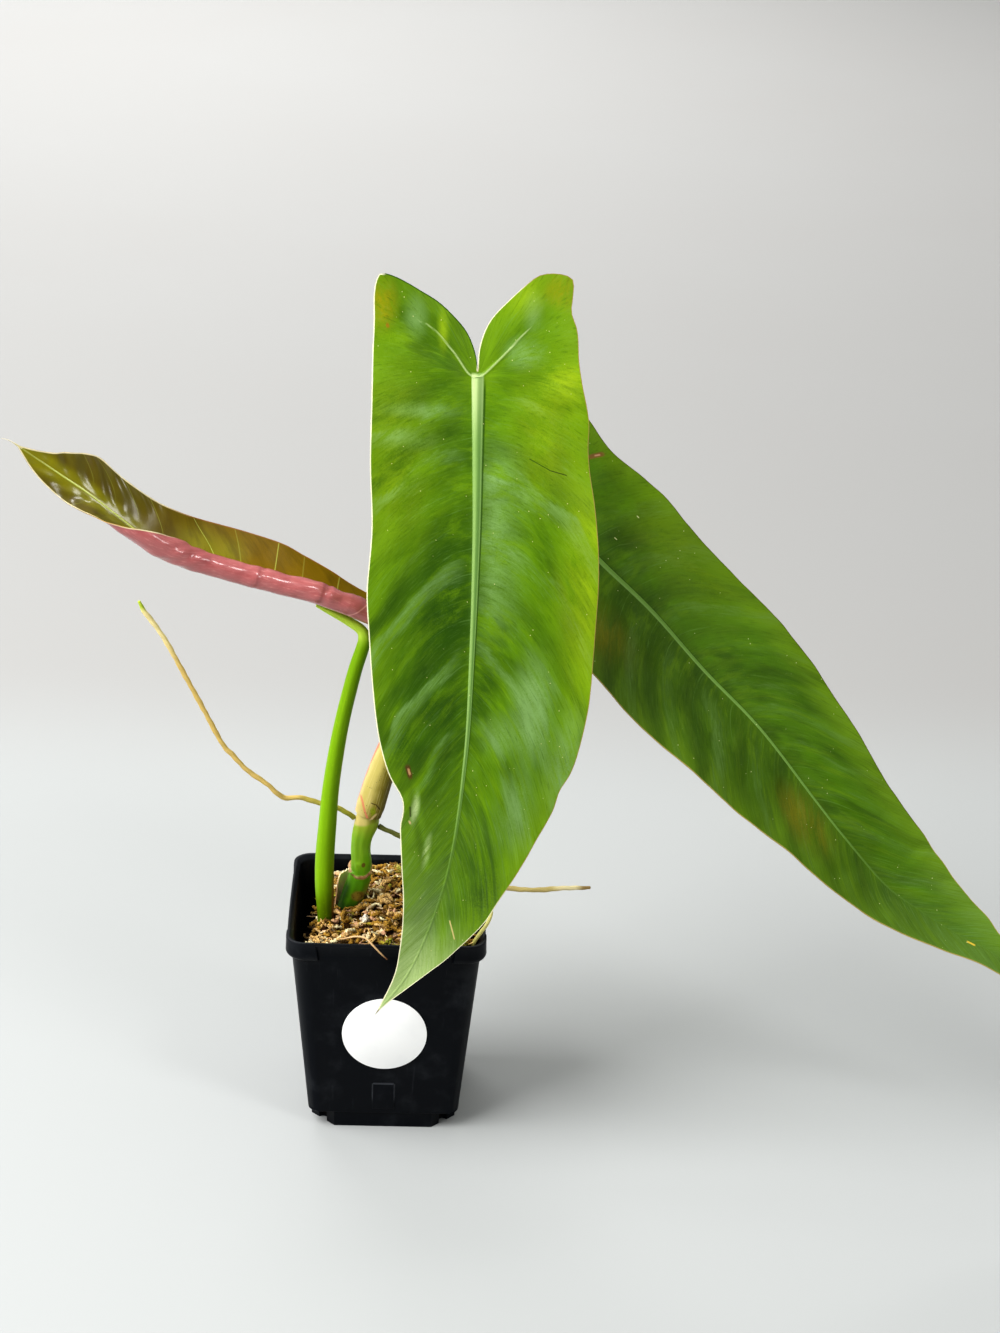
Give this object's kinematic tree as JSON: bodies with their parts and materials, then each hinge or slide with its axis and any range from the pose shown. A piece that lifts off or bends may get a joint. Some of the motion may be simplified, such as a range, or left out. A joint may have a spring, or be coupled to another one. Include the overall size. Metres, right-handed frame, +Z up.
{
  "type": "potted philodendron",
  "caption": "Young philodendron with long arrow-shaped leaves on petioles, one leaf still rolled, aerial roots, in a square black nursery pot of moss.",
  "frame": {"origin": "centre of the pot's flat base", "axes": "+Z up, -Y towards the front of the pot, which carries the round label, +X along the side leaf's reach"},
  "size_m": [0.4553, 0.1217, 0.3933],
  "materials": {
    "pot": "satin moulded black",
    "label": "bare white paper sticker",
    "moss": "dry tan and golden moss strands",
    "grain": "matt white mineral grain",
    "stem": "smooth green plant skin",
    "sheath": "dry tan scale with a pink edge",
    "scale": "dry speckled papery scale with a dusky edge",
    "petiole_new": "smooth yellow-green plant skin",
    "petiole": "smooth green plant skin",
    "leaf_new": "glossy bronze above, dusty rose below",
    "leaf_front": "satin green leaf with a pale midrib",
    "leaf_side": "satin dark green leaf with a pale midrib",
    "root": "dry tan root with a green and cream tip",
    "rim_root": "thin pinkish tan root"
  },
  "bodies": {
    "root": {"pot": "pot", "label": "label", "moss": "moss", "perlite_grain": "grain", "stem": "stem", "sheath": "sheath", "sheath_old": "scale", "petiole_new": "petiole_new", "petiole_front": "petiole", "petiole_side": "petiole", "leaf_new": "leaf_new", "leaf_front": "leaf_front", "leaf_side": "leaf_side", "root_left": "root", "root_right": "root", "rim_root_front": "rim_root", "rim_root_right": "root"}
  },
  "joints": []
}
